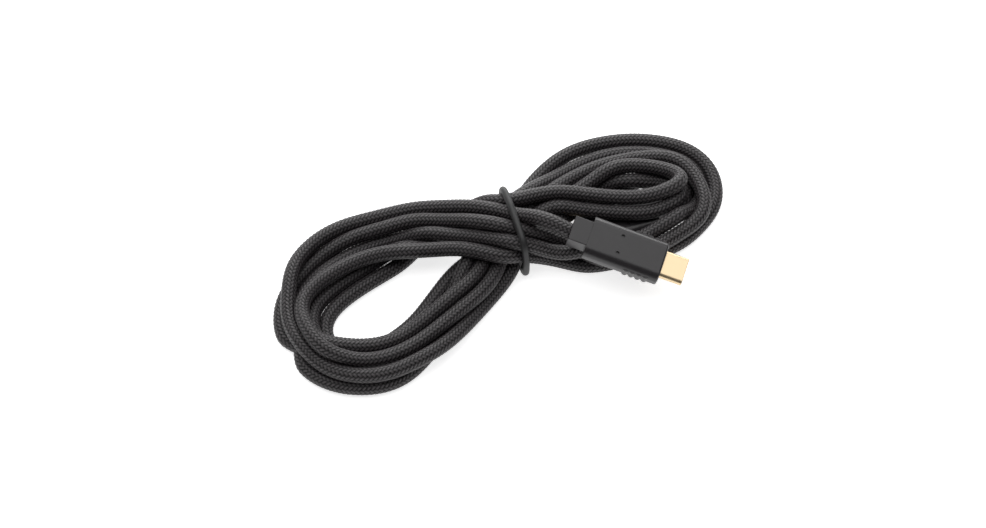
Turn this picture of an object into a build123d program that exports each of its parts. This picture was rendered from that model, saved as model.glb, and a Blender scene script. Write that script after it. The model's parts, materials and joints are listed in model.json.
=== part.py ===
"""Braided USB-C charging cable, wound into a loose figure-of-eight hank and tied at its waist.

Frame: +Z up, the table at z = 0, +X to the right along the hank, +Y away from its user.
The origin is on the table under the middle of the whole object. Millimetres throughout.

Both ends carry the same plug. The near plug lies on top of the hank. The far plug lies on the
table under the right-hand lobe. A plug is drawn on its seat, a plane at the rear face of its
strain relief: x runs across the plug, y through its thickness, and z towards its nose.
"""

import os
from math import cos, pi, radians, sin, tan

from build123d import *

# ---- cord ----------------------------------------------------------------------------------
CORD_D = 4.4  # over the braid
ARC_SHARE = 0.45  # of the shorter run, taken by the arc at each corner of the tail
TAIL_ROUTE = (  # the free stretch from the tied waist to the near plug
    (5.6, 8.3, 13.6),
    (9.0, 6.5, 15.3),
    (12.6, 4.4, 16.8),
    (16.3, 2.8, 17.2),
    (20.1, 1.6, 16.5),
)

# ---- plug, outside -------------------------------------------------------------------------
BODY_W = 12.3  # the widest body that still lets two plugs sit side by side
BODY_T = 6.1
BODY_L = 22.0
BODY_R = 2.45  # long edges
BODY_FRONT_R = 0.6
BODY_REAR_R = 0.12
BODY_WALL = 1.0  # front and rear walls
RELIEF_W = BODY_W - 2 * BODY_R  # as wide as the flat of the body's top
RELIEF_T = 5.6
RELIEF_L = 5.3
RELIEF_R = 0.25
RELIEF_NECK_D = 4.2
RELIEF_FLANGE_L = 1.0
PIT_D = 1.1  # two moulding pits on the top face
PIT_DEPTH = 0.55
PIT_APART = 5.3
PIT_AT = 14.2  # from the rear of the strain relief
RIB_COUNT = 4  # grip ribs on each side, near the nose
RIB_D = 2.0
RIB_PITCH = 1.9
RIB_H = 3.0
RIB_PROUD = 0.3
RIB_AT = 18.0

# ---- plug, connector -----------------------------------------------------------------------
SHELL_W = 8.25
SHELL_T = 2.4
SHELL_WALL = 0.3
SHELL_OUT = 6.65  # stands out of the body
SHELL_IN = 4.5  # held inside the body
SHELL_LIP_R = 0.12
INSULATOR_GAP = 0.05  # between the shell and the insulator
INSULATOR_SET_BACK = 0.35
INSULATOR_TAIL = 0.2  # how far its rear stands inside the shell's rear
TONGUE_W = 7.0
TONGUE_T = 1.1
TONGUE_DEPTH = 6.2
CONTACTS = 12  # in each row
CONTACT_PITCH = 0.5
CONTACT_W = 0.22
CONTACT_T = 0.14
CHANNEL_W = 0.26
CHANNEL_T = 0.32
CHANNEL_TIP = 0.3  # the channels stop short of the insulator's front
CONTACT_TIP = 0.5  # and the contacts' tips a little further in
CONTACT_TAIL = 2.1  # soldered length on the board
LATCH_T = 0.16
LATCH_W = 6.6
LATCH_ARM_T = 0.13
LATCH_ARM_X = 3.36
LATCH_ROOT_L = 0.2
LATCH_ROOT_W = 0.36
LATCH_HOOK_L = 0.8
LATCH_HOOK_T = 0.29
LATCH_TIP = 1.4
SPRING_W = 5.4
SPRING_L = 2.2
SPRING_T = 0.1
SPRING_AT = 1.6  # behind the insulator's front
SPRING_SLIT_W = 0.3
SPRING_SLIT_L = 1.55
SPRING_FINGERS = 4
SPRING_RECESS = 0.1  # all round, in the insulator

# ---- plug, inside --------------------------------------------------------------------------
CAVITY_W = 9.4
CAVITY_T = 4.3
CLEAR = 0.05
CAN_W = 9.2
CAN_T = 4.1
CAN_WALL = 0.2
CAN_L = 11.9
CAN_SEAM = 0.1
BOARD_W = 7.8
BOARD_T = 0.8
BOARD_L = 8.2
BOARD_CORNER_R = 0.4
BOARD_SET_IN = 0.2  # its rear edge, inside the can
CHIP_SIDE = 2.2
CHIP_T = 0.65
CHIP_AT = 4.1  # from the board's rear
JACKET_IN = 4.3  # the jacket is stripped off here
CORES_D = 3.4  # the stripped bundle's hole
FERRULE_OD = 3.9
FERRULE_ID = 3.42
FERRULE_L = 2.8
WIRE_LAP = 1.5  # soldered length on the board
POWER_WIRE_D = 0.95
SIGNAL_WIRE_D = 0.6
POWER_WIRE_X = 0.75
SIGNAL_WIRE_X = (0.25, 1.0)

# ---- hank ----------------------------------------------------------------------------------
HANK_OUTLINE = (
    (4.0, -5.5), (12.0, -6.3), (22.0, -6.8), (32.0, -6.3), (43.0, -3.0), (52.5, 4.0),
    (59.5, 13.0), (63.7, 22.0), (63.0, 30.0), (57.5, 37.0), (49.0, 41.6), (40.0, 42.4),
    (30.0, 40.7), (20.0, 35.5), (11.0, 27.5), (3.5, 20.0), (-4.0, 16.6), (-14.0, 15.0),
    (-27.0, 13.8), (-40.0, 10.2), (-51.0, 3.5), (-58.0, -5.0), (-62.5, -13.0), (-63.7, -21.0),
    (-60.5, -28.0), (-55.0, -34.8), (-46.0, -40.3), (-36.0, -42.4), (-26.0, -40.0),
    (-16.0, -33.0), (-8.0, -23.0), (-2.0, -13.5),
)
HANK_HOLE = (
    (-22.0, -0.8), (-14.5, -2.8), (-17.0, -11.5), (-24.0, -19.0), (-31.0, -23.5),
    (-38.0, -26.0), (-43.5, -24.3), (-45.5, -19.5), (-43.0, -12.5), (-36.0, -6.5),
    (-29.0, -2.8),
)
HANK_H = 9.4  # two layers of cord and the crossings
HANK_EDGE_R = 2.2
UPPER_OUTLINE = (  # the layer that runs over the waist and along the right-hand lobe
    (-30.0, 0.5), (-29.0, 11.0), (-12.0, 13.0), (0.0, 15.6), (10.0, 18.2), (30.0, 17.6),
    (46.0, 20.0), (51.5, 19.5), (51.0, 14.0), (40.0, 10.2), (26.0, 9.4), (17.0, 9.0),
    (9.0, 3.0), (4.0, -2.0), (-14.0, -2.5),
)
UPPER_H = 12.8
UPPER_EDGE_R = 1.5
SEAT_GAP = 0.1  # between the hank and what lies in it

# ---- tie -----------------------------------------------------------------------------------
TIE_D = 1.75
TIE_CENTRE = (3.9, 6.7)
TIE_HEADING = 14.0  # the way the bundle runs through it
WAIST_W = 21.1
WAIST_H = 13.2
WAIST_R = 5.0
WAIST_L = 21.0
TIE_GAP = 0.05
TIE_FLAT = 0.02  # left between the loop's roundings

# ---- where the plugs lie -------------------------------------------------------------------
NEAR_REAR = TAIL_ROUTE[-1]  # the near plug points the way the tail arrives
NEAR_ROLL = 8.4
FAR_REAR = (49.6, 17.7, BODY_T / 2)
FAR_HEADING = 200.0

NOSE = RELIEF_L + BODY_L  # the body's front face
CAVITY_REAR = RELIEF_L + BODY_WALL
CAVITY_FRONT = NOSE - BODY_WALL
CAN_REAR = CAVITY_FRONT - CAN_L
BOARD_REAR = CAN_REAR + BOARD_SET_IN
BOARD_FRONT = BOARD_REAR + BOARD_L
SHELL_FRONT = NOSE + SHELL_OUT
SHELL_REAR = NOSE - SHELL_IN
INSULATOR_FRONT = SHELL_FRONT - INSULATOR_SET_BACK
INSULATOR_REAR = SHELL_REAR + INSULATOR_TAIL
INSULATOR_W = SHELL_W - 2 * SHELL_WALL - 2 * INSULATOR_GAP
INSULATOR_T = SHELL_T - 2 * SHELL_WALL - 2 * INSULATOR_GAP
CHANNEL_END = INSULATOR_FRONT - CHANNEL_TIP
CONTACT_END = INSULATOR_FRONT - CONTACT_TIP
MOULD_REAR = CAVITY_REAR + RELIEF_FLANGE_L + CLEAR
MOULD_FRONT = CAN_REAR - CLEAR
FERRULE_FRONT = MOULD_REAR + FERRULE_L


def plug_seat(rear, nose, roll=0.0):
    """The plane at a plug's rear face: z along the plug, x across it, y up through it."""
    level = Vector(-nose.Y, nose.X, 0)
    return Plane(origin=rear, x_dir=level.rotate(Axis((0, 0, 0), nose), roll), z_dir=nose)


# ---- the pieces of a plug ------------------------------------------------------------------
def housing(seat):
    """Outer body: rounded block with pits on top, ribs at the sides and a hollow inside."""
    with BuildPart() as body:
        with BuildSketch(seat.offset(RELIEF_L)):
            RectangleRounded(BODY_W, BODY_T, BODY_R)
        extrude(amount=BODY_L)
        along = Axis(seat.origin, seat.z_dir)
        fillet(body.faces().sort_by(along)[-1].edges(), BODY_FRONT_R)
        fillet(body.faces().sort_by(along)[0].edges(), BODY_REAR_R)
        side = Plane(seat.origin, x_dir=seat.z_dir, z_dir=-seat.y_dir)
        rib_x = BODY_W / 2 + RIB_PROUD - RIB_D / 2
        with BuildSketch(side.offset(-RIB_H / 2)):
            for row in range(RIB_COUNT):
                along_body = RIB_AT + row * RIB_PITCH
                with Locations((along_body, rib_x), (along_body, -rib_x)):
                    Circle(RIB_D / 2)
        extrude(amount=RIB_H)
        with BuildSketch(seat.offset(CAVITY_REAR)):
            Rectangle(CAVITY_W, CAVITY_T)
        extrude(amount=CAVITY_FRONT - CAVITY_REAR, mode=Mode.SUBTRACT)
        with BuildSketch(seat.offset(CAVITY_FRONT)):
            SlotOverall(SHELL_W + 2 * CLEAR, SHELL_T + 2 * CLEAR)
        extrude(amount=BODY_WALL, mode=Mode.SUBTRACT)
        with BuildSketch(seat.offset(RELIEF_L)):
            Circle(RELIEF_NECK_D / 2 + CLEAR)
        extrude(amount=BODY_WALL, mode=Mode.SUBTRACT)
        top = Plane(seat.origin + seat.y_dir * BODY_T / 2, x_dir=seat.z_dir, z_dir=seat.y_dir)
        with BuildSketch(top):
            with Locations((PIT_AT, PIT_APART / 2), (PIT_AT, -PIT_APART / 2)):
                Circle(PIT_D / 2)
        extrude(amount=-PIT_DEPTH, mode=Mode.SUBTRACT)
    return body


def strain_relief(seat):
    """Square block behind the body, with a neck and a flange that the body holds."""
    with BuildPart() as relief:
        with BuildSketch(seat):
            with Locations((0, (BODY_T - RELIEF_T) / 2)):
                RectangleRounded(RELIEF_W, RELIEF_T, RELIEF_R)
        extrude(amount=RELIEF_L)
        with BuildSketch(seat.offset(RELIEF_L)):
            Circle(RELIEF_NECK_D / 2)
        extrude(amount=BODY_WALL)
        with BuildSketch(seat.offset(CAVITY_REAR)):
            Rectangle(CAVITY_W - 2 * CLEAR, CAVITY_T - 2 * CLEAR)
        extrude(amount=RELIEF_FLANGE_L)
        with BuildSketch(seat):
            Circle(CORD_D / 2)
        extrude(amount=JACKET_IN, mode=Mode.SUBTRACT)
        with BuildSketch(seat.offset(JACKET_IN)):
            Circle(CORES_D / 2)
        extrude(amount=MOULD_REAR - JACKET_IN, mode=Mode.SUBTRACT)
    return relief


def cord_end(seat):
    """The jacket and braid of the cord where the strain relief grips them."""
    with BuildPart() as end:
        with BuildSketch(seat):
            Circle(CORD_D / 2)
        extrude(amount=JACKET_IN)
    return end


def plug_shell(seat):
    """Drawn metal shell: a slot-shaped tube with a rounded front lip."""
    with BuildPart() as shell:
        with BuildSketch(seat.offset(SHELL_REAR)):
            SlotOverall(SHELL_W, SHELL_T)
            SlotOverall(SHELL_W - 2 * SHELL_WALL, SHELL_T - 2 * SHELL_WALL, mode=Mode.SUBTRACT)
        extrude(amount=SHELL_FRONT - SHELL_REAR)
        along = Axis(seat.origin, seat.z_dir)
        fillet(shell.faces().sort_by(along)[-1].edges(), SHELL_LIP_R)
    return shell


def bar_row(plane, side, width, thick):
    """Sections of one contact row, above (side 1) or below (side -1) the board."""
    with BuildSketch(plane) as bars:
        with Locations((0, side * (BOARD_T + thick) / 2)):
            with GridLocations(CONTACT_PITCH, 1, CONTACTS, 1):
                Rectangle(width, thick)
    return bars.sketch


def contact_housing(seat):
    """Moulded insulator inside the shell, open at the front for the socket's tongue."""
    with BuildPart() as insulator:
        with BuildSketch(seat.offset(INSULATOR_REAR)):
            SlotOverall(INSULATOR_W, INSULATOR_T)
        extrude(amount=INSULATOR_FRONT - INSULATOR_REAR)
        with BuildSketch(seat.offset(INSULATOR_FRONT)):
            Rectangle(TONGUE_W, TONGUE_T)
        extrude(amount=-TONGUE_DEPTH, mode=Mode.SUBTRACT)
        with BuildSketch(seat.offset(INSULATOR_REAR)):
            Rectangle(LATCH_W + 2 * CLEAR, LATCH_T + 2 * CLEAR)
        extrude(amount=INSULATOR_FRONT - TONGUE_DEPTH - INSULATOR_REAR, mode=Mode.SUBTRACT)
        for side in (1, -1):
            channels = bar_row(seat.offset(INSULATOR_REAR), side, CHANNEL_W, CHANNEL_T)
            extrude(channels, amount=CHANNEL_END - INSULATOR_REAR, mode=Mode.SUBTRACT)
            recess = seat.offset(INSULATOR_FRONT - SPRING_AT - SPRING_L - SPRING_RECESS)
            with BuildSketch(recess):
                with Locations((0, side * INSULATOR_T / 2)):
                    Rectangle(SPRING_W + 2 * SPRING_RECESS, 2 * SPRING_T)
            extrude(amount=SPRING_L + 2 * SPRING_RECESS, mode=Mode.SUBTRACT)
    return insulator


def contact_row(seat, side):
    """Twelve flat contacts, from their tails on the board to their tips in the mouth."""
    rear = BOARD_FRONT - CONTACT_TAIL
    with BuildPart() as row:
        extrude(bar_row(seat.offset(rear), side, CONTACT_W, CONTACT_T), amount=CONTACT_END - rear)
    return row


def latch_plate(seat):
    """Mid-plate between the contact rows, with a latch arm down each side of the mouth."""
    plate_front = INSULATOR_FRONT - TONGUE_DEPTH
    with BuildPart() as plate:
        mid = Plane(seat.origin, x_dir=seat.z_dir, z_dir=-seat.y_dir)
        with BuildSketch(mid.offset(-LATCH_T / 2)):
            with Locations(((INSULATOR_REAR + plate_front) / 2, 0)):
                Rectangle(plate_front - INSULATOR_REAR, LATCH_W)
            arm_end = INSULATOR_FRONT - LATCH_TIP
            outer = LATCH_ARM_X + LATCH_ARM_T
            for side in (1, -1):
                with Locations(((plate_front + arm_end) / 2, side * (outer - LATCH_ARM_T / 2))):
                    Rectangle(arm_end - plate_front, LATCH_ARM_T)
                with Locations((plate_front + LATCH_ROOT_L / 2, side * (outer - LATCH_ROOT_W / 2))):
                    Rectangle(LATCH_ROOT_L, LATCH_ROOT_W)
                with Locations((arm_end - LATCH_HOOK_L / 2, side * (outer - LATCH_HOOK_T / 2))):
                    Rectangle(LATCH_HOOK_L, LATCH_HOOK_T)
        extrude(amount=LATCH_T)
    return plate


def ground_spring(seat, side):
    """Thin spring finger plate between the insulator and the shell."""
    with BuildPart() as spring:
        low = INSULATOR_FRONT - SPRING_AT - SPRING_L
        face = Plane(seat.origin, x_dir=seat.z_dir, z_dir=-seat.y_dir)
        height = side * (INSULATOR_T / 2 - SPRING_T) if side > 0 else -INSULATOR_T / 2
        with BuildSketch(face.offset(-height)):
            with Locations((low + SPRING_L / 2, 0)):
                Rectangle(SPRING_L, SPRING_W)
            pitch = SPRING_W / SPRING_FINGERS
            for slit in range(1, SPRING_FINGERS):
                front = low + SPRING_L - SPRING_SLIT_L / 2
                with Locations((front, slit * pitch - SPRING_W / 2)):
                    Rectangle(SPRING_SLIT_L, SPRING_SLIT_W, mode=Mode.SUBTRACT)
        extrude(amount=-SPRING_T)
    return spring


def paddle_board(seat):
    """Small circuit board that joins the cord's wires to the contacts."""
    with BuildPart() as board:
        with BuildSketch(seat.offset(BOARD_REAR)):
            Rectangle(BOARD_W, BOARD_T)
        extrude(amount=BOARD_L)
        up = Axis(seat.origin, seat.y_dir)
        fillet(board.edges().filter_by(up), BOARD_CORNER_R)
    return board


def marker_chip(seat):
    """Chip on the board that tells the charger what current the cord may carry."""
    with BuildPart() as chip:
        rear = BOARD_REAR + CHIP_AT - CHIP_SIDE / 2
        with BuildSketch(seat.offset(rear)):
            with Locations((0, (BOARD_T + CHIP_T) / 2)):
                Rectangle(CHIP_SIDE, CHIP_T)
        extrude(amount=CHIP_SIDE)
    return chip


def shield_can(seat, side):
    """Half of the folded metal can round the board: side 1 is the upper half."""
    with BuildPart() as can:
        with BuildSketch(seat.offset(CAN_REAR)):
            with Locations((0, side * (CAN_T + CAN_SEAM) / 4)):
                Rectangle(CAN_W, (CAN_T - CAN_SEAM) / 2)
            with Locations((0, side * (CAN_T / 4 - CAN_WALL / 2))):
                Rectangle(CAN_W - 2 * CAN_WALL, CAN_T / 2 - CAN_WALL, mode=Mode.SUBTRACT)
        extrude(amount=CAN_L)
    return can


def inner_mould(seat):
    """Stiff block that pots the wires between the strain relief and the can."""
    with BuildPart() as mould:
        with BuildSketch(seat.offset(MOULD_REAR)):
            Rectangle(CAVITY_W - 2 * CLEAR, CAVITY_T - 2 * CLEAR)
        extrude(amount=MOULD_FRONT - MOULD_REAR)
        with BuildSketch(seat.offset(MOULD_REAR)):
            Circle(FERRULE_OD / 2 + CLEAR / 2)
        extrude(amount=FERRULE_L + CLEAR, mode=Mode.SUBTRACT)
        with BuildSketch(seat.offset(FERRULE_FRONT)):
            Circle(CORES_D / 2)
        extrude(amount=MOULD_FRONT - FERRULE_FRONT, mode=Mode.SUBTRACT)
    return mould


def crimp_ferrule(seat):
    """Ring crimped on the cord's shield, just inside the body."""
    with BuildPart() as ferrule:
        with BuildSketch(seat.offset(MOULD_REAR)):
            Circle(FERRULE_OD / 2)
            Circle(FERRULE_ID / 2, mode=Mode.SUBTRACT)
        extrude(amount=FERRULE_L)
    return ferrule


def wire(seat, places, diameter):
    """Insulated wires that leave the jacket and end on the board's pads."""
    with BuildPart() as strands:
        with BuildSketch(seat.offset(JACKET_IN)):
            with Locations(*places):
                Circle(diameter / 2)
        extrude(amount=BOARD_REAR + WIRE_LAP - JACKET_IN)
    return strands


def plug_pieces(seat):
    """Every piece of one plug, by name."""
    power_y = (BOARD_T + POWER_WIRE_D) / 2
    signal_y = (BOARD_T + SIGNAL_WIRE_D) / 2
    signals = [
        (SIGNAL_WIRE_X[0], signal_y),
        (SIGNAL_WIRE_X[1], signal_y),
        (SIGNAL_WIRE_X[0], -signal_y),
        (SIGNAL_WIRE_X[1], -signal_y),
    ]
    return {
        "housing": housing(seat),
        "strain_relief": strain_relief(seat),
        "cord_end": cord_end(seat),
        "plug_shell": plug_shell(seat),
        "contact_housing": contact_housing(seat),
        "upper_contacts": contact_row(seat, 1),
        "lower_contacts": contact_row(seat, -1),
        "latch_plate": latch_plate(seat),
        "upper_ground_spring": ground_spring(seat, 1),
        "lower_ground_spring": ground_spring(seat, -1),
        "paddle_board": paddle_board(seat),
        "upper_shield_can": shield_can(seat, 1),
        "lower_shield_can": shield_can(seat, -1),
        "inner_mould": inner_mould(seat),
        "crimp_ferrule": crimp_ferrule(seat),
        "power_wire": wire(seat, [(-POWER_WIRE_X, power_y)], POWER_WIRE_D),
        "ground_wire": wire(seat, [(-POWER_WIRE_X, -power_y)], POWER_WIRE_D),
        "signal_wires": wire(seat, signals, SIGNAL_WIRE_D),
    }


# ---- the cord ------------------------------------------------------------------------------
def tail_radii(points):
    """As large an arc at each corner of the route as its two runs allow."""
    corners = [Vector(*p) for p in points]
    radii = []
    for before, here, after in zip(corners, corners[1:], corners[2:]):
        run_in, run_out = here - before, after - here
        half_turn = radians(run_in.get_angle(run_out)) / 2
        radii.append(ARC_SHARE * min(run_in.length, run_out.length) / tan(half_turn))
    return radii


def tail_tube(radius):
    """Tube along the free stretch between the waist and the near plug."""
    start = Vector(*TAIL_ROUTE[0])
    with BuildPart() as tube:
        with BuildLine():
            FilletPolyline(*TAIL_ROUTE, radius=tail_radii(TAIL_ROUTE))
        with BuildSketch(Plane(origin=start, z_dir=Vector(*TAIL_ROUTE[1]) - start)):
            Circle(radius)
        sweep()
    return tube


def report_tail(tail):
    """Print the radii, and the volume against the section times the length."""
    with BuildLine() as route:
        FilletPolyline(*TAIL_ROUTE, radius=tail_radii(TAIL_ROUTE))
    length = sum(edge.length for edge in route.edges())
    print("tail radii", [round(radius, 1) for radius in tail_radii(TAIL_ROUTE)])
    print("tail volume", round(tail.part.volume, 1), "from", round(pi * (CORD_D / 2) ** 2 * length, 1))


def waist_plane():
    """Upright plane of the tie: x across the bundle, y up, its origin amid the bundle."""
    yaw = radians(TIE_HEADING)
    middle = (*TIE_CENTRE, TIE_D + TIE_GAP + WAIST_H / 2)
    return Plane(origin=middle, x_dir=(-sin(yaw), cos(yaw), 0), z_dir=(cos(yaw), sin(yaw), 0))


def cord_tie():
    """Round elastic loop, drawn tight round the waist of the hank."""
    ring = waist_plane()
    with BuildPart() as tie:
        with BuildSketch(ring):
            RectangleRounded(*waist_size(TIE_GAP + TIE_D))
            RectangleRounded(*waist_size(TIE_GAP), mode=Mode.SUBTRACT)
        extrude(amount=TIE_D / 2, both=True)
        rims = tie.edges().filter_by(Axis(ring.origin, ring.z_dir), reverse=True)
        fillet(rims, TIE_D / 2 - TIE_FLAT)
    return tie


def waist_size(outset):
    """Width, height and corner radius of the bundle's section, grown by the outset."""
    return WAIST_W + 2 * outset, WAIST_H + 2 * outset, WAIST_R + outset


def plug_rooms(seat):
    """Where a plug needs room: plane, width, thickness, corner radius and length."""
    body, over_ribs = seat.offset(RELIEF_L - SEAT_GAP), BODY_W + 2 * RIB_PROUD
    return (
        (seat, RELIEF_W, BODY_T, RELIEF_R, RELIEF_L),
        (body, over_ribs, BODY_T, BODY_R - 2 * RIB_PROUD, BODY_L + 2 * SEAT_GAP),
        (seat.offset(NOSE), SHELL_W, SHELL_T, SHELL_T / 2 - SEAT_GAP, SHELL_OUT + SEAT_GAP),
    )


def cord_hank(seats, tail_room):
    """Outer shape of the figure of eight: two lobes, the left one open, and a raised waist."""
    with BuildPart() as hank:
        with BuildSketch():
            with BuildLine():
                Spline(*HANK_OUTLINE, periodic=True)
            make_face()
            with BuildLine():
                Spline(*HANK_HOLE, periodic=True)
            make_face(mode=Mode.SUBTRACT)
        extrude(amount=HANK_H)
        fillet(hank.faces().sort_by(Axis.Z)[-1].edges(), HANK_EDGE_R)
        with BuildSketch(Plane.XY.offset(HANK_H - UPPER_EDGE_R)):
            with BuildLine():
                Spline(*UPPER_OUTLINE, periodic=True)
            make_face()
        extrude(amount=UPPER_H - HANK_H + UPPER_EDGE_R)
        fillet(hank.faces().sort_by(Axis.Z)[-1].edges(), UPPER_EDGE_R)
        with BuildSketch(waist_plane()):
            RectangleRounded(*waist_size(0))
        extrude(amount=WAIST_L / 2, both=True)
        with BuildSketch(waist_plane()):
            Rectangle(4 * WAIST_W, 4 * WAIST_H)
            RectangleRounded(*waist_size(0), mode=Mode.SUBTRACT)
        extrude(amount=TIE_D / 2 + TIE_GAP, both=True, mode=Mode.SUBTRACT)
        for seat in seats:
            for plane, width, thick, corner, length in plug_rooms(seat):
                with BuildSketch(plane):
                    RectangleRounded(width + 2 * SEAT_GAP, thick + 2 * SEAT_GAP, corner)
                extrude(amount=length, mode=Mode.SUBTRACT)
        add(tail_room.part, mode=Mode.SUBTRACT)
    return hank


near_seat = plug_seat(NEAR_REAR, Vector(*NEAR_REAR) - Vector(*TAIL_ROUTE[-2]), NEAR_ROLL)
far_seat = plug_seat(FAR_REAR, Vector(1, 0, 0).rotate(Axis.Z, FAR_HEADING))

tail = tail_tube(CORD_D / 2)
report_tail(tail)
pieces = {
    "cord_hank": cord_hank((near_seat, far_seat), tail_tube(CORD_D / 2 + SEAT_GAP)),
    "cord_tail": tail,
    "cord_tie": cord_tie(),
    "marker_chip_near": marker_chip(near_seat),
}
for end, seat in (("near", near_seat), ("far", far_seat)):
    for name, piece in plug_pieces(seat).items():
        pieces[f"{name}_{end}"] = piece

os.makedirs("parts", exist_ok=True)
for name, piece in pieces.items():
    piece.part.label = name
    export_step(piece.part, f"parts/{name}.step")
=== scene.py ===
"""Braided USB-C charging cable in a tied figure-of-eight hank, dressed round its CAD frame.

The cord is one NURBS spline: out of the near plug, through the tie and round both lobes by turns,
and into the far plug under the right-hand lobe. The tail's points are listed, and used as they
stand. The coil's turns, down to the far plug, are worked out by loops: each half-turn is drawn as
distances outside its lobe's guide, and then all of them are settled against each other.

Lengths are in millimetres except where a comment says metres. Every Blender object is in metres.
"""

import json
import math

import bpy
import numpy as np
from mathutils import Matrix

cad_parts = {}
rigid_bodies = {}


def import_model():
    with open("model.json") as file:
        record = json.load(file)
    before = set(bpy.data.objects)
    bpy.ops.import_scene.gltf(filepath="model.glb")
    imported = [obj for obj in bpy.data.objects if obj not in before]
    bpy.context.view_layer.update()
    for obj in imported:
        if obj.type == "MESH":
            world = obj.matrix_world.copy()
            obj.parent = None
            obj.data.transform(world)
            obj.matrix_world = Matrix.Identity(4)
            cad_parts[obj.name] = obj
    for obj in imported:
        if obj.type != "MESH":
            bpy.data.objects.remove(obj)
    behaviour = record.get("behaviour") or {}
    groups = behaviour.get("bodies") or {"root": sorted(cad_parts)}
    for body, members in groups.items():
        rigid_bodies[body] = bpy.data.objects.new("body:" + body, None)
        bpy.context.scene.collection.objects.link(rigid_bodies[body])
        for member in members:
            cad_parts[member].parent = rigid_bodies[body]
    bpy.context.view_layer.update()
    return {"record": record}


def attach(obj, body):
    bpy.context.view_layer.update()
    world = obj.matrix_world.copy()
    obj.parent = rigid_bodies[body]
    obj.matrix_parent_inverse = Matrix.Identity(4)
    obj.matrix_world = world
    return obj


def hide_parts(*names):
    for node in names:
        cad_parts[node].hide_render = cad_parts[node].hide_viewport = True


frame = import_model()

MM = 0.001

# ---- camera --------------------------------------------------------------------------------
AIM = (-1.6, 0.4, 0.0)
DISTANCE = 600.0
ELEVATION = 60.0
SENSOR_W = 36.0
LENS = 76.67

# ---- cord ----------------------------------------------------------------------------------
CORD_D = 4.4
CORD_R = CORD_D / 2
TAIL = (  # from the near plug to the tied waist, as in part.py
    (20.1, 1.6, 16.5),
    (18.39, 2.14, 16.815),
    (15.8, 3.6, 17.2),
    (12.5, 5.3, 16.8),
    (9.0, 7.0, 15.3),
    (5.6, 8.3, 13.6),
)
FAR_END = (  # from the last half-turn round into the far plug
    (54.7, 24.6, 2.2),
    (54.2, 20.9, 2.5),
    (52.4, 18.7, 3.05),
    (49.6, 17.7, 3.05),
)

# ---- tie -----------------------------------------------------------------------------------
TIE_CENTRE = (3.9, 6.7)
TIE_HEADING = 14.0
TIE_D = 2.0
WAIST_W = 21.1
WAIST_LOW = 1.8
WAIST_TOP = 15.0
TIE_REACH = 2.5  # how far along the bundle the tie holds it
TIE_SKEW = 3.0  # degrees that the loop lies askew across the bundle
TIE_SHIFT = 0.5  # how far the loop lies along the bundle from its centre
TIE_STEP = 0.5  # between the loop's points
TIE_SPOKES = 120  # directions in which the outermost strand is found
TIE_SMOOTHINGS = 6
TIE_SIDES = 24

# ---- plugs, as in part.py ------------------------------------------------------------------
PLUG_L = 27.3
PLUG_HALF_W = 6.4
PLUG_HALF_T = 3.05
SHELL_L = 6.65
SHELL_HALF_W = 4.13
SHELL_HALF_T = 1.2
NEAR_ROLL = 8.4
FAR_HEADING = 200.0

# ---- keeping the cord off the plugs --------------------------------------------------------
PLUG_EDGE = 2.0  # cord no further in than this, and low, goes past a plug's edge
PLUG_MARGIN = 1.0  # past a plug's ends, where cord still keeps off it
EDGE_ROOM = 0.7  # share of the cord's radius that is kept clear beside a plug
MOST_LIFT = 2.0  # off a plug's face, in one step

# Guide loops, one for each lobe, from the tie round the lobe and back to it.
LEFT_GUIDE = (
    (-6, -1), (-17, -1), (-28, -2), (-37, -6), (-44, -13), (-48, -20), (-47, -26),
    (-42, -29), (-34, -28), (-25, -22), (-18, -14), (-12, -6), (-5, 3),
)
RIGHT_GUIDE = (
    (9, 10), (16, 16), (24, 20), (33, 24), (42, 25), (49, 24), (53, 20),
    (51, 16), (44, 14), (36, 14), (27, 14), (18, 13), (9, 11),
)

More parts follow.
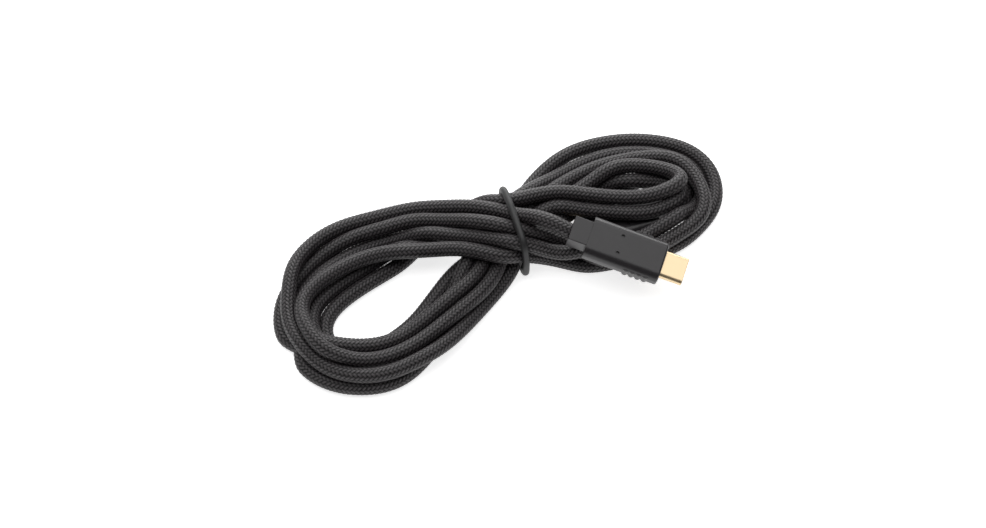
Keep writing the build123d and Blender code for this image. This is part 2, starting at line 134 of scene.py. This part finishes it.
# Each half-turn: where it passes the tie (across the bundle, height), then how far outside the
# guide it runs and how high its middle lies at each of the guide's points.
TURNS = (
    ("left", (2.8, 12.7),
     (14.3, 15, 15, 15.9, 16.5, 10.8, 6.5, 9, 11, 10.2, 9.4, 10.1, 10),
     (11.5, 9.6, 7.6, 6.6, 6.2, 5.5, 4.5, 6, 6, 5, 5, 4.5, 4.5)),
    ("right", (2.5, 4.0),
     (3, 1.5, 1.5, 0.3, 0.4, 0.7, 1.5, 0.5, 1.5, 1.5, 0.7, -0.2, -2.6),
     (4, 3.5, 3.5, 3.5, 4.5, 5.5, 7, 8, 8.5, 8.5, 8.5, 8.5, 8)),
    ("left", (0.2, 8.4),
     (10.8, 6, 3.6, 2.9, 4.1, 4.7, 3.6, 1.8, 1.5, 2.5, 3.5, 4, 3.5),
     (7.5, 6, 5, 4.5, 4.5, 5, 5.5, 6, 6, 7, 8, 8.5, 8)),
    ("right", (4.4, 8.4),
     (5.5, 4.5, 5.5, 6.5, 8, 8, 5, 5.6, 10.3, 14.6, 15.5, 12, 7),
     (8, 8, 8, 7.5, 7, 7, 6.5, 6.5, 6.5, 7, 8, 9.5, 11.5)),
    ("left", (-1.6, 12.7),
     (9, 10.4, 11.4, 13.9, 14, 12.3, 8.5, 4.3, 5, 5, 3.4, 2, 1),
     (11, 9.5, 7.2, 5.7, 4.2, 2.4, 2.2, 2.2, 2.2, 3, 5, 7, 7.5)),
    ("right", (8.3, 7.6),
     (6.5, 8, 10.8, 11.6, 12, 10, 3.5, 3.8, 7.4, 12, 14.5, 13.5, 10),
     (7, 6.5, 4.5, 3, 2.5, 2.2, 3, 5.5, 8.4, 9, 9, 9, 10)),
    ("left", (-6.0, 12.5),
     (4, 6, 9, 10.9, 11.8, 10.3, 8.8, 9.5, 11.3, 10.2, 8.1, 8, 7),
     (11, 9, 5, 3.2, 2.2, 2.2, 2.2, 2.2, 2.2, 3, 3.5, 3.5, 4)),
    ("right", (-2.0, 4.0),
     (0.5, 1, 2, 2.2, 2.1, 2.8, 0.8, -1.3, -3, -2.4, -3, -4, -6),
     (5.5, 7, 7.5, 8, 9, 10, 11, 11.5, 12, 12, 12, 11.5, 10.5)),
    ("left", (7.4, 11.8),
     (17.2, 10, 1.4, -0.8, 0, 1.7, 3.1, 2.6, 0.8, -0.2, -0.8, -0.7, -1),
     (8.5, 5.5, 2.5, 2.2, 2.2, 2.2, 2.2, 2.2, 2.2, 2.2, 3, 3.5, 4)),
    ("right", (7.0, 4.0),
     (8.5, 10.7, 15.6, 16.2, 15.6, 13.9, 7.2, 7.9, 11.1, 13.6, 15.2, 13.6, 11.5),
     (4, 4.5, 4.5, 4, 3, 2.5, 2.2, 2.2, 2.5, 3, 4, 5.5, 7.5)),
    ("left", (-8.3, 8.8),
     (1.5, 1.8, 2.7, 4.2, 6.7, 8.2, 4, 4, 5, 6.5, 8, 9.5, 9),
     (9.5, 9, 9, 9, 9, 9, 8.5, 8, 8, 8, 8, 8, 8)),
    ("right", (-4.0, 8.2),
     (-4.2, -3.3, -1.3, -1, 3.5, 6.6),
     (7.2, 5.5, 3, 2.2, 2.2, 2.2)),
)

# ---- settling the turns --------------------------------------------------------------------
NODE_STEP = 3.0
DRAWN_STEPS = 260  # held close to the drawn turns
FREE_STEPS = 140  # then mostly free to part
DRAWN_PULL = 0.06
FREE_PULL = 0.015
PUSH = 0.2  # share of an overlap that one step removes
STIFFNESS = 0.22
TIGHTEST = 8.0  # radius below which a bend is opened
OPENING = 0.4  # share of such a bend's excess that one step removes
SINK = 0.03
NEAR = 1.5  # diameters within which strands are tested for touching
NEAR_EVERY = 5  # steps between searches for strands that are near
SKIP = 4  # neighbours along the cord that don't touch
HELD_END = 5  # nodes that lead into the far plug

# ---- braid ---------------------------------------------------------------------------------
CARRIERS = 12  # yarns each way round
BEAD = 1.2  # from one crossing to the next, along the cord
SAMPLES = 4  # mesh steps to a crossing, both ways
RELIEF = 0.24
GROOVE = 0.6  # height below which the braid is all groove
CROWN_SHARE = 0.4  # share of a yarn's height that is its own roundness
FILAMENTS = 5  # across a yarn
LINE_RESOLUTION = 8

# ---- finishes ------------------------------------------------------------------------------
# Moulded plastics by slot: darkest and lightest colour, roughness, scale of the grain, and its
# depth in metres.
PLASTICS = {
    "plug_plastic": ((0.016, 0.014, 0.0155), (0.022, 0.0195, 0.0215), 0.32, 9000.0, 0.00001),
    "insulator_plastic": ((0.008, 0.008, 0.008), (0.014, 0.014, 0.014), 0.4, 4000.0, 0.00001),
    "board_laminate": ((0.012, 0.09, 0.03), (0.02, 0.13, 0.05), 0.35, 3000.0, 0.000005),
    "chip_epoxy": ((0.012, 0.012, 0.012), (0.02, 0.02, 0.02), 0.55, 5000.0, 0.00001),
    "potting_plastic": ((0.6, 0.59, 0.55), (0.7, 0.69, 0.64), 0.45, 3000.0, 0.00001),
    "red_insulation": ((0.42, 0.02, 0.015), (0.52, 0.03, 0.02), 0.4, 3000.0, 0.000005),
    "black_insulation": ((0.01, 0.01, 0.01), (0.016, 0.016, 0.016), 0.4, 3000.0, 0.000005),
    "white_insulation": ((0.7, 0.7, 0.68), (0.78, 0.78, 0.76), 0.4, 3000.0, 0.000005),
}
# Metals by slot: darkest and lightest colour, roughness, depth of the drawing marks in metres.
METALS = {
    "gold_shell": ((0.66, 0.52, 0.33), (0.72, 0.57, 0.37), 0.3, 0.000002),
    "gold_contact": ((0.9, 0.64, 0.26), (0.97, 0.72, 0.34), 0.2, 0.000002),
    "spring_steel": ((0.5, 0.5, 0.5), (0.62, 0.62, 0.61), 0.28, 0.000003),
    "tinned_steel": ((0.52, 0.52, 0.51), (0.66, 0.66, 0.65), 0.38, 0.000003),
}


# ---- camera --------------------------------------------------------------------------------
def make_camera():
    """Camera of the view from the front and above, at the elevation the hank is seen from."""
    data = bpy.data.cameras.new("camera")
    data.sensor_width = SENSOR_W
    data.lens = LENS
    data.clip_start = 0.01
    data.clip_end = 20.0
    camera = bpy.data.objects.new("camera", data)
    bpy.context.collection.objects.link(camera)
    rise = math.radians(ELEVATION)
    x, y, z = AIM
    camera.location = (
        x * MM,
        (y - DISTANCE * math.cos(rise)) * MM,
        (z + DISTANCE * math.sin(rise)) * MM,
    )
    camera.rotation_euler = (math.pi / 2 - rise, 0, 0)
    bpy.context.scene.camera = camera


# ---- the cord's route ----------------------------------------------------------------------
def unit(vectors):
    """Each vector, or each row of vectors, at length 1."""
    vectors = np.asarray(vectors, float)
    return vectors / np.linalg.norm(vectors, axis=-1, keepdims=True)


def tie_axes():
    """The tie's centre on the table, the way the bundle runs, and the way across it."""
    yaw = math.radians(TIE_HEADING)
    along = np.array((math.cos(yaw), math.sin(yaw), 0))
    across = np.array((-math.sin(yaw), math.cos(yaw), 0))
    return np.array((*TIE_CENTRE, 0.0)), along, across


def half_turn(lobe, offsets, heights):
    """Points of one half-turn, outside its lobe's guide loop."""
    guide = np.array(LEFT_GUIDE if lobe == "left" else RIGHT_GUIDE, float)
    headings = unit(np.gradient(guide, axis=0))
    outward = np.stack([-headings[:, 1], headings[:, 0]], axis=1)
    if lobe == "left":
        outward = -outward
    count = len(offsets)
    plan = guide[:count] + np.array(offsets)[:, None] * outward[:count]
    return np.column_stack([plan, heights])


def drawn_route():
    """The coil's turns as drawn, from their first pass of the tie to the far plug."""
    centre, _, across = tie_axes()
    rows = [np.array(TAIL[-1:])]
    for lobe, (offset, height), offsets, heights in TURNS:
        rows.append([centre + offset * across + (0, 0, height)])
        rows.append(half_turn(lobe, offsets, heights))
    rows.append(np.array(FAR_END[:-1]))
    return np.vstack(rows)


def drawn_through(points, parts=8):
    """The coil's turns as one smooth line through every drawn point."""
    ends = np.vstack([2 * points[0] - points[1], points, 2 * points[-1] - points[-2]])
    before, start, end, after = ends[:-3], ends[1:-2], ends[2:-1], ends[3:]
    rows = []
    for part in range(parts):
        t = part / parts
        rows.append(
            start
            + 0.5 * t * (end - before)
            + 0.5 * t**2 * (2 * before - 5 * start + 4 * end - after)
            + 0.5 * t**3 * (3 * start - before - 3 * end + after)
        )
    line = np.stack(rows, axis=1).reshape(-1, 3)
    return np.vstack([line, points[-1:]])


def lengths_along(points):
    """Distance from the first point to each point, along the line."""
    steps = np.linalg.norm(np.diff(points, axis=0), axis=1)
    return np.concatenate([[0.0], np.cumsum(steps)])


def evenly(points, step):
    """Points a step apart along a line, with both its ends."""
    run = lengths_along(points)
    places = np.linspace(0, run[-1], round(run[-1] / step) + 1)
    return np.column_stack([np.interp(places, run, points[:, axis]) for axis in range(3)])


def plug_axes(rear, nose, roll=0.0):
    """A plug's rear point and its directions: to the nose, across, and up through it."""
    nose = unit(nose)
    level = unit((-nose[1], nose[0], 0))
    turn = math.radians(roll)
    across = level * math.cos(turn) + np.cross(nose, level) * math.sin(turn)
    return np.array(rear, float), nose, across, np.cross(nose, across)


def keep_out_of_plug(nodes, plug, side):
    """Moves nodes off a plug: out past its edge if they lie beside it, or else off its face.

    The side is -1 for cord that goes below the plug, and 1 for cord that goes above it.
    """
    rear, nose, across, up = plug
    local = nodes - rear
    place = local @ nose
    sideways = local @ across
    height = side * (local @ up)
    shell = (place > PLUG_L) & (place < PLUG_L + SHELL_L + PLUG_MARGIN)
    body = (place > -PLUG_MARGIN) & (place < PLUG_L + PLUG_MARGIN)
    boxes = ((shell, SHELL_HALF_W, SHELL_HALF_T), (body, PLUG_HALF_W, PLUG_HALF_T))
    for level, half_w, half_t in boxes:
        inset = half_w + EDGE_ROOM * CORD_R - np.abs(sideways)
        inside = level & (inset > 0)
        beside = inside & (inset < PLUG_EDGE) & (height < half_t)
        out = inset * beside * np.sign(sideways)
        lift = side * np.clip(half_t + CORD_R - height, 0, MOST_LIFT) * (inside & ~beside)
        nodes = nodes + out[:, None] * across + lift[:, None] * up
    return nodes


def keep_in_tie(nodes):
    """Holds the strands within the tie where they pass it."""
    centre, along, across = tie_axes()
    local = nodes - centre
    held = (np.abs(local @ along) < TIE_REACH) & (np.abs(local @ across) < WAIST_W)
    half = WAIST_W / 2 - CORD_R
    place = local @ across
    shift = np.clip(place, -half, half) - place
    nodes = nodes + (shift * held)[:, None] * across
    height = np.clip(nodes[:, 2], WAIST_LOW + CORD_R, WAIST_TOP - CORD_R)
    nodes[:, 2] = np.where(held, height, nodes[:, 2])
    return nodes


def near_pairs(nodes):
    """Nodes, and the starts of the steps along the cord that they could touch."""
    gaps = np.linalg.norm(nodes[:, None] - nodes[None, :-1], axis=2)
    first, second = np.nonzero(gaps < NEAR * CORD_D)
    apart = np.abs(second - first) > SKIP
    return first[apart], second[apart]


def push_apart(nodes, first, second):
    """Moves nodes and the stretches of cord that they touch towards a diameter apart."""
    start = nodes[second]
    run = nodes[second + 1] - start
    offset = nodes[first] - start
    place = (offset * run).sum(axis=1) / (run * run).sum(axis=1)
    beside = (place >= 0) & (place < 1)
    between = offset - place[:, None] * run
    gaps = np.linalg.norm(between, axis=1) + 1e-9
    size = np.clip(CORD_D - gaps, 0, None) * beside * PUSH
    push = between * (size / gaps)[:, None]
    np.add.at(nodes, first, push)
    np.add.at(nodes, second, -push * (1 - place)[:, None])
    np.add.at(nodes, second + 1, -push * place[:, None])


def ease_bends(nodes):
    """Opens every bend that is tighter than the cord bends, and evens out the others."""
    bend = np.zeros_like(nodes)
    bend[1:-1] = (nodes[:-2] + nodes[2:]) / 2 - nodes[1:-1]
    size = np.linalg.norm(bend, axis=1, keepdims=True) + 1e-9
    most = NODE_STEP**2 / (2 * TIGHTEST)
    nodes += OPENING * bend * np.clip(1 - most / size, 0, 1)
    nodes[2:-2] += STIFFNESS * (bend[2:-2] - (bend[1:-3] + bend[3:-1]) / 2)


def settle(drawn, plugs):
    """The coil's turns at rest, worked out by a loop from the drawn ones.

    They are pushed towards a diameter apart, onto the table, off both plugs and into the tie. Not
    all of them get there: two crossings, at the waist by the tie and at the left lobe's lower
    left, still have one strand running through another. The tail and the nodes that lead into the
    far plug stay where they are.
    """
    fixed = np.array(TAIL[:-1], float)
    count = len(fixed)
    nodes = np.vstack([fixed, drawn])
    start = nodes.copy()
    near, far = plugs
    for step in range(DRAWN_STEPS + FREE_STEPS):
        if step % NEAR_EVERY == 0:
            first, second = near_pairs(nodes)
        push_apart(nodes, first, second)
        ease_bends(nodes)
        pull = DRAWN_PULL if step < DRAWN_STEPS else FREE_PULL
        nodes += pull * (start - nodes)
        nodes[:, 2] -= SINK
        nodes = keep_out_of_plug(nodes, near, -1)
        nodes = keep_out_of_plug(nodes, far, 1)
        nodes = keep_in_tie(nodes)
        nodes[:, 2] = np.maximum(nodes[:, 2], CORD_R)
        nodes[: count + 1] = start[: count + 1]
        nodes[-HELD_END:] = start[-HELD_END:]
    return nodes[count:]


def cord_line(points):
    """Points read from the NURBS spline whose control points are the route's, in metres."""
    curve = bpy.data.curves.new("cord_route", "CURVE")
    curve.dimensions = "3D"
    curve.resolution_u = LINE_RESOLUTION
    spline = curve.splines.new("NURBS")
    spline.points.add(len(points) - 1)
    spline.points.foreach_set("co", np.column_stack([points * MM, np.ones(len(points))]).ravel())
    spline.order_u = 3
    spline.use_endpoint_u = True
    route = bpy.data.objects.new("cord_route", curve)
    bpy.context.collection.objects.link(route)
    mesh = bpy.data.meshes.new_from_object(route)
    line = np.empty(3 * len(mesh.vertices))
    mesh.vertices.foreach_get("co", line)
    bpy.data.objects.remove(route)
    bpy.data.meshes.remove(mesh)
    return line.reshape(-1, 3)


# ---- tubes ---------------------------------------------------------------------------------
def carried_frames(line, closed=False):
    """A direction across the line at each point, turned no more than the line turns it."""
    if closed:
        headings = unit(np.roll(line, -1, axis=0) - np.roll(line, 1, axis=0))
    else:
        headings = unit(np.gradient(line, axis=0))
    sideways = np.empty_like(line)
    current = np.cross(headings[0], (0.0, 0.0, 1.0))
    for index, heading in enumerate(headings):
        current = unit(current - (current @ heading) * heading)
        sideways[index] = current
    return sideways, np.cross(headings, sideways)


def ring_mesh(name, rings, closed=False, u_step=1.0):
    """Mesh through rings of points, an array of (ring, side, xyz), capped unless it closes."""
    count, sides = rings.shape[:2]
    spans = count if closed else count - 1
    row = np.repeat(np.arange(spans), sides)
    side = np.tile(np.arange(sides), spans)
    rows = np.stack([row, row, row + 1, row + 1], axis=1)
    columns = np.stack([side, side + 1, side + 1, side], axis=1)
    faces = ((rows % count) * sides + columns % sides)[:, ::-1]
    last_ring = range((count - 1) * sides, count * sides)
    caps = [] if closed else [list(range(sides)), list(last_ring)[::-1]]
    mesh = bpy.data.meshes.new(name)
    mesh.from_pydata(rings.reshape(-1, 3).tolist(), [], faces.tolist() + caps)
    around = np.stack([rows[:, ::-1] * u_step, columns[:, ::-1] / sides], axis=2).reshape(-1, 2)
    layer = mesh.uv_layers.new(name="along_and_round")
    coords = np.zeros((len(mesh.loops), 2))
    coords[: len(around)] = around
    layer.data.foreach_set("uv", coords.ravel())
    mesh.polygons.foreach_set("use_smooth", [True] * len(mesh.polygons))
    mesh.update()
    piece = bpy.data.objects.new(name, mesh)
    bpy.context.collection.objects.link(piece)
    return piece


def tube_rings(line, radius, sides, closed=False):
    """Rings of points round a line in metres, all at one radius or each point at its own."""
    sideways, upward = carried_frames(line, closed)
    turn = 2 * math.pi * np.arange(sides) / sides
    spokes = (
        np.cos(turn)[None, :, None] * sideways[:, None]
        + np.sin(turn)[None, :, None] * upward[:, None]
    )
    return (line[:, None] + radius * spokes) * MM


def yarn_height(across, phase):
    """Height, 0 to 1, of a yarn: across it, and along it as it goes over two and under two."""
    place = across - np.floor(across) - 0.5
    crown = np.sqrt(np.clip(1 - 3.6 * place**2, 0, 1))
    wave = np.clip(0.5 + 0.75 * np.cos(math.pi / 2 * phase), 0, 1)
    return (1 - CROWN_SHARE) * wave + CROWN_SHARE * crown


def braid_height(along, around):
    """Height, 0 to 1, of a two-over-two braid: along in beads, around in yarns."""
    left, right = around + along, around - along
    top = np.maximum(
        yarn_height(left, np.floor(left) + right - 1),
        yarn_height(right, np.floor(right) + left + 1),
    )
    return np.clip((top - GROOVE) / (1 - GROOVE), 0, 1)


def make_cord(line):
    """The braided cord: a tube along the line with every yarn crossing in its surface."""
    step = BEAD / SAMPLES
    line = evenly(line / MM, step)
    sides = CARRIERS * SAMPLES
    along = np.arange(len(line))[:, None] / SAMPLES
    around = np.arange(sides)[None] / SAMPLES
    height = braid_height(along, around)
    radius = CORD_R - RELIEF * (1 - height)
    rings = tube_rings(line, radius[:, :, None], sides)
    piece = ring_mesh("cord", rings, u_step=1 / SAMPLES)
    # The height is kept for the material, which paints shade into the grooves from it.
    crowns = piece.data.attributes.new("height", "FLOAT", "POINT")
    crowns.data.foreach_set("value", height.ravel())
    return piece


# ---- tie -----------------------------------------------------------------------------------
def tie_route(nodes):
    """The tie's middle line, drawn tight round the strands that pass it."""
    centre, along, across = tie_axes()
    local = nodes - centre
    passing = np.abs(local @ along) < TIE_D
    passing &= np.abs(local @ across) < WAIST_W
    places = np.column_stack([local[passing] @ across, local[passing][:, 2]])
    angles = np.linspace(0, 2 * math.pi, TIE_SPOKES, endpoint=False)
    spokes = np.column_stack([np.cos(angles), np.sin(angles)])
    outermost = places[np.argmax(places @ spokes.T, axis=0)]
    loop = outermost + (CORD_R + TIE_D / 2) * spokes
    loop = np.vstack([loop, loop[:1]])
    flat = np.column_stack([loop, np.zeros(len(loop))])
    loop = evenly(flat, TIE_STEP)[:-1]
    for _ in range(TIE_SMOOTHINGS):
        loop = (np.roll(loop, 1, axis=0) + 2 * loop + np.roll(loop, -1, axis=0)) / 4
    skew = math.radians(TIE_SKEW)
    slanted = across * math.cos(skew) - along * math.sin(skew)
    upright = np.array((0, 0, 1.0))
    return centre + TIE_SHIFT * along + loop[:, :1] * slanted + loop[:, 1:2] * upright


def make_tie(nodes):
    """Round elastic loop with a fine knitted skin."""
    line = tie_route(nodes)
    line[:, 2] = np.maximum(line[:, 2], TIE_D / 2)
    rings = tube_rings(line, TIE_D / 2, TIE_SIDES, closed=True)
    return ring_mesh("tie_loop", rings, closed=True)


# ---- materials -----------------------------------------------------------------------------
def shader(name):
    """A new node material, its principled shader and its node tree."""
    material = bpy.data.materials.new(name)
    material.use_nodes = True
    tree = material.node_tree
    return material, tree.nodes["Principled BSDF"], tree


def add_node(tree, kind, inputs=(), **settings):
    """A node with its settings, and its inputs linked or set in order."""
    node = tree.nodes.new(kind)
    for name, value in settings.items():
        setattr(node, name, value)
    for place, value in enumerate(inputs):
        if isinstance(value, bpy.types.NodeSocket):
            tree.links.new(value, node.inputs[place])
        else:
            node.inputs[place].default_value = value
    return node


def maths(tree, operation, *inputs):
    """A math node's result."""
    return add_node(tree, "ShaderNodeMath", inputs, operation=operation).outputs[0]


def noise(tree, scale, detail=2.0, roughness=0.5):
    """Noise over the object's own space, in metres."""
    space = add_node(tree, "ShaderNodeTexCoord").outputs["Object"]
    node = add_node(tree, "ShaderNodeTexNoise", (space,))
    node.inputs["Scale"].default_value = scale
    node.inputs["Detail"].default_value = detail
    node.inputs["Roughness"].default_value = roughness
    return node.outputs["Fac"]


def blend_colours(tree, factor, low, high):
    """A colour between two, by a factor from 0 to 1."""
    ramp = add_node(tree, "ShaderNodeValToRGB", (factor,))
    ramp.color_ramp.elements[0].color = (*low, 1)
    ramp.color_ramp.elements[1].color = (*high, 1)
    return ramp


def between(tree, value, low, high):
    """A value from 0 to 1, stretched to run from low to high."""
    node = add_node(tree, "ShaderNodeMapRange", (value,))
    node.inputs["To Min"].default_value = low
    node.inputs["To Max"].default_value = high
    return node.outputs[0]


def bump(tree, surface, height, depth, strength=1.0):
    """Fine relief in the shading, its depth in metres."""
    node = add_node(tree, "ShaderNodeBump")
    node.inputs["Strength"].default_value = strength
    node.inputs["Distance"].default_value = depth
    tree.links.new(height, node.inputs["Height"])
    tree.links.new(node.outputs[0], surface.inputs["Normal"])


def braid_material():
    """Black nylon yarns with fine filaments along each, and painted shade that darkens the
    grooves between them so that their crowns look lighter.

    Which yarn is on top changes every two cells of the braid, so it repeats every four.
    """
    material, surface, tree = shader("braid_nylon")
    uv = add_node(tree, "ShaderNodeUVMap", uv_map="along_and_round").outputs[0]
    split = add_node(tree, "ShaderNodeSeparateXYZ", (uv,))
    along = split.outputs[0]
    around = maths(tree, "MULTIPLY", split.outputs[1], float(CARRIERS))
    left = maths(tree, "ADD", around, along)
    right = maths(tree, "SUBTRACT", around, along)
    cells = maths(tree, "ADD", maths(tree, "FLOOR", left), maths(tree, "FLOOR", right))
    right_over = maths(tree, "GREATER_THAN", maths(tree, "FLOORED_MODULO", cells, 4.0), 1.5)
    left_over = maths(tree, "SUBTRACT", 1.0, right_over)
    across = maths(
        tree,
        "ADD",
        maths(tree, "MULTIPLY", left, left_over),
        maths(tree, "MULTIPLY", right, right_over),
    )
    filaments = maths(tree, "SINE", maths(tree, "MULTIPLY", across, 2 * math.pi * FILAMENTS))
    height = add_node(tree, "ShaderNodeAttribute", attribute_name="height").outputs["Fac"]
    uneven = maths(tree, "MULTIPLY", maths(tree, "SUBTRACT", noise(tree, 700.0), 0.5), 0.35)
    # Painted shade: the base colour follows the braid's height, near-black down in the grooves
    # between yarns and the nylon's dark grey on the crowns, with a random tone mixed in.
    shade = maths(tree, "ADD", height, uneven)
    ramp = blend_colours(tree, shade, (0.001, 0.001, 0.001), (0.066, 0.059, 0.062))
    ramp.color_ramp.elements[0].position = 0.25
    tree.links.new(ramp.outputs[0], surface.inputs["Base Color"])
    tree.links.new(between(tree, noise(tree, 400.0), 0.36, 0.5), surface.inputs["Roughness"])
    tree.links.new(between(tree, height, 0.0, 0.6), surface.inputs["Specular IOR Level"])
    bump(tree, surface, filaments, 0.00002, 0.6)
    return material


def elastic_material():
    """Black elastic with a fine knit."""
    material, surface, tree = shader("tie_elastic")
    fine = noise(tree, 2600.0, 3.0)
    ramp = blend_colours(tree, fine, (0.006, 0.006, 0.006), (0.022, 0.022, 0.023))
    tree.links.new(ramp.outputs[0], surface.inputs["Base Color"])
    tree.links.new(between(tree, fine, 0.42, 0.6), surface.inputs["Roughness"])
    bump(tree, surface, fine, 0.00008, 0.5)
    return material


def plastic_material(name, low, high, rough, grain, depth):
    """Moulded plastic: slightly uneven colour, and a fine spark-eroded grain."""
    material, surface, tree = shader(name)
    cloud = noise(tree, 60.0, 3.0)
    ramp = blend_colours(tree, cloud, low, high)
    tree.links.new(ramp.outputs[0], surface.inputs["Base Color"])
    roughness = between(tree, noise(tree, 800.0), rough - 0.05, rough + 0.06)
    tree.links.new(roughness, surface.inputs["Roughness"])
    bump(tree, surface, noise(tree, grain, 2.0), depth, 0.3)
    return material


def metal_material(name, low, high, rough, streak):
    """Plated or bare metal, with faint drawing marks."""
    material, surface, tree = shader(name)
    surface.inputs["Metallic"].default_value = 1.0
    space = add_node(tree, "ShaderNodeTexCoord").outputs["Object"]
    stretched = add_node(tree, "ShaderNodeMapping", (space,))
    stretched.inputs["Scale"].default_value = (300.0, 2500.0, 2500.0)
    marks = add_node(tree, "ShaderNodeTexNoise", (stretched.outputs[0],)).outputs["Fac"]
    ramp = blend_colours(tree, marks, low, high)
    tree.links.new(ramp.outputs[0], surface.inputs["Base Color"])
    tree.links.new(between(tree, marks, rough - 0.04, rough + 0.08), surface.inputs["Roughness"])
    bump(tree, surface, marks, streak, 0.1)
    return material


def slot_materials():
    """A material for each of the record's material slots."""
    materials = {"cord_braid": braid_material(), "tie_elastic": elastic_material()}
    for slot, finish in PLASTICS.items():
        materials[slot] = plastic_material(slot, *finish)
    for slot, finish in METALS.items():
        materials[slot] = metal_material(slot, *finish)
    return materials


# ---- studio --------------------------------------------------------------------------------
def make_floor():
    """Plain pale floor."""
    mesh = bpy.data.meshes.new("floor")
    half = 2.0
    corners = [(-half, -half, 0), (half, -half, 0), (half, half, 0), (-half, half, 0)]
    mesh.from_pydata(corners, [], [(0, 1, 2, 3)])
    floor = bpy.data.objects.new("floor", mesh)
    bpy.context.collection.objects.link(floor)
    material, surface, tree = shader("floor_paper")
    ramp = blend_colours(tree, noise(tree, 30.0), (0.93, 0.93, 0.93), (0.95, 0.95, 0.95))
    tree.links.new(ramp.outputs[0], surface.inputs["Base Color"])
    surface.inputs["Roughness"].default_value = 0.9
    surface.inputs["Emission Color"].default_value = (1, 1, 1, 1)
    surface.inputs["Emission Strength"].default_value = 0.75
    mesh.materials.append(material)


def add_light(name, place, width, depth, watts):
    """Soft rectangular lamp that faces the hank."""
    data = bpy.data.lights.new(name, "AREA")
    data.shape = "RECTANGLE"
    data.size = width
    data.size_y = depth
    data.energy = watts
    lamp = bpy.data.objects.new(name, data)
    bpy.context.collection.objects.link(lamp)
    lamp.location = place
    towards = -unit(place)
    lamp.rotation_euler = (
        math.acos(-towards[2]),
        0,
        math.atan2(-towards[0], towards[1]),
    )


def light_studio():
    """Wide overhead softbox behind the hank, a low panel at the back and a dim room in front."""
    world = bpy.data.worlds.new("room")
    world.use_nodes = True
    background = world.node_tree.nodes["Background"]
    background.inputs["Color"].default_value = (1, 1, 1, 1)
    background.inputs["Strength"].default_value = 0.12
    bpy.context.scene.world = world
    bpy.context.scene.view_settings.view_transform = "Standard"
    add_light("overhead", (-0.15, 0.6, 1.4), 2.4, 2.4, 30.0)
    add_light("back_panel", (0.0, 1.4, 0.4), 1.6, 0.6, 15.0)


# ---- the model -----------------------------------------------------------------------------
make_camera()
near_plug = plug_axes(TAIL[0], np.subtract(TAIL[0], TAIL[1]), NEAR_ROLL)
heading = math.radians(FAR_HEADING)
far_plug = plug_axes(FAR_END[-1], (math.cos(heading), math.sin(heading), 0))
turns = settle(evenly(drawn_through(drawn_route()), NODE_STEP), (near_plug, far_plug))
route = np.vstack([TAIL[:-1], turns, FAR_END[-1:]])
line = cord_line(route)
print("cord length", round(lengths_along(line)[-1], 4), "m from", len(route), "points")

materials = slot_materials()
cord = make_cord(line)
cord.data.materials.append(materials["cord_braid"])
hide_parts("cord_hank", "cord_tail")
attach(cord, "root")

tie = make_tie(turns)
tie.data.materials.append(materials["tie_elastic"])
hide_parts("cord_tie")
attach(tie, "root")

for subpart in frame["record"]["subparts"]:
    node = bpy.data.objects[subpart["node"]]
    for slot in node.material_slots:
        slot.material = materials[subpart["material_slot"]]

make_floor()
light_studio()
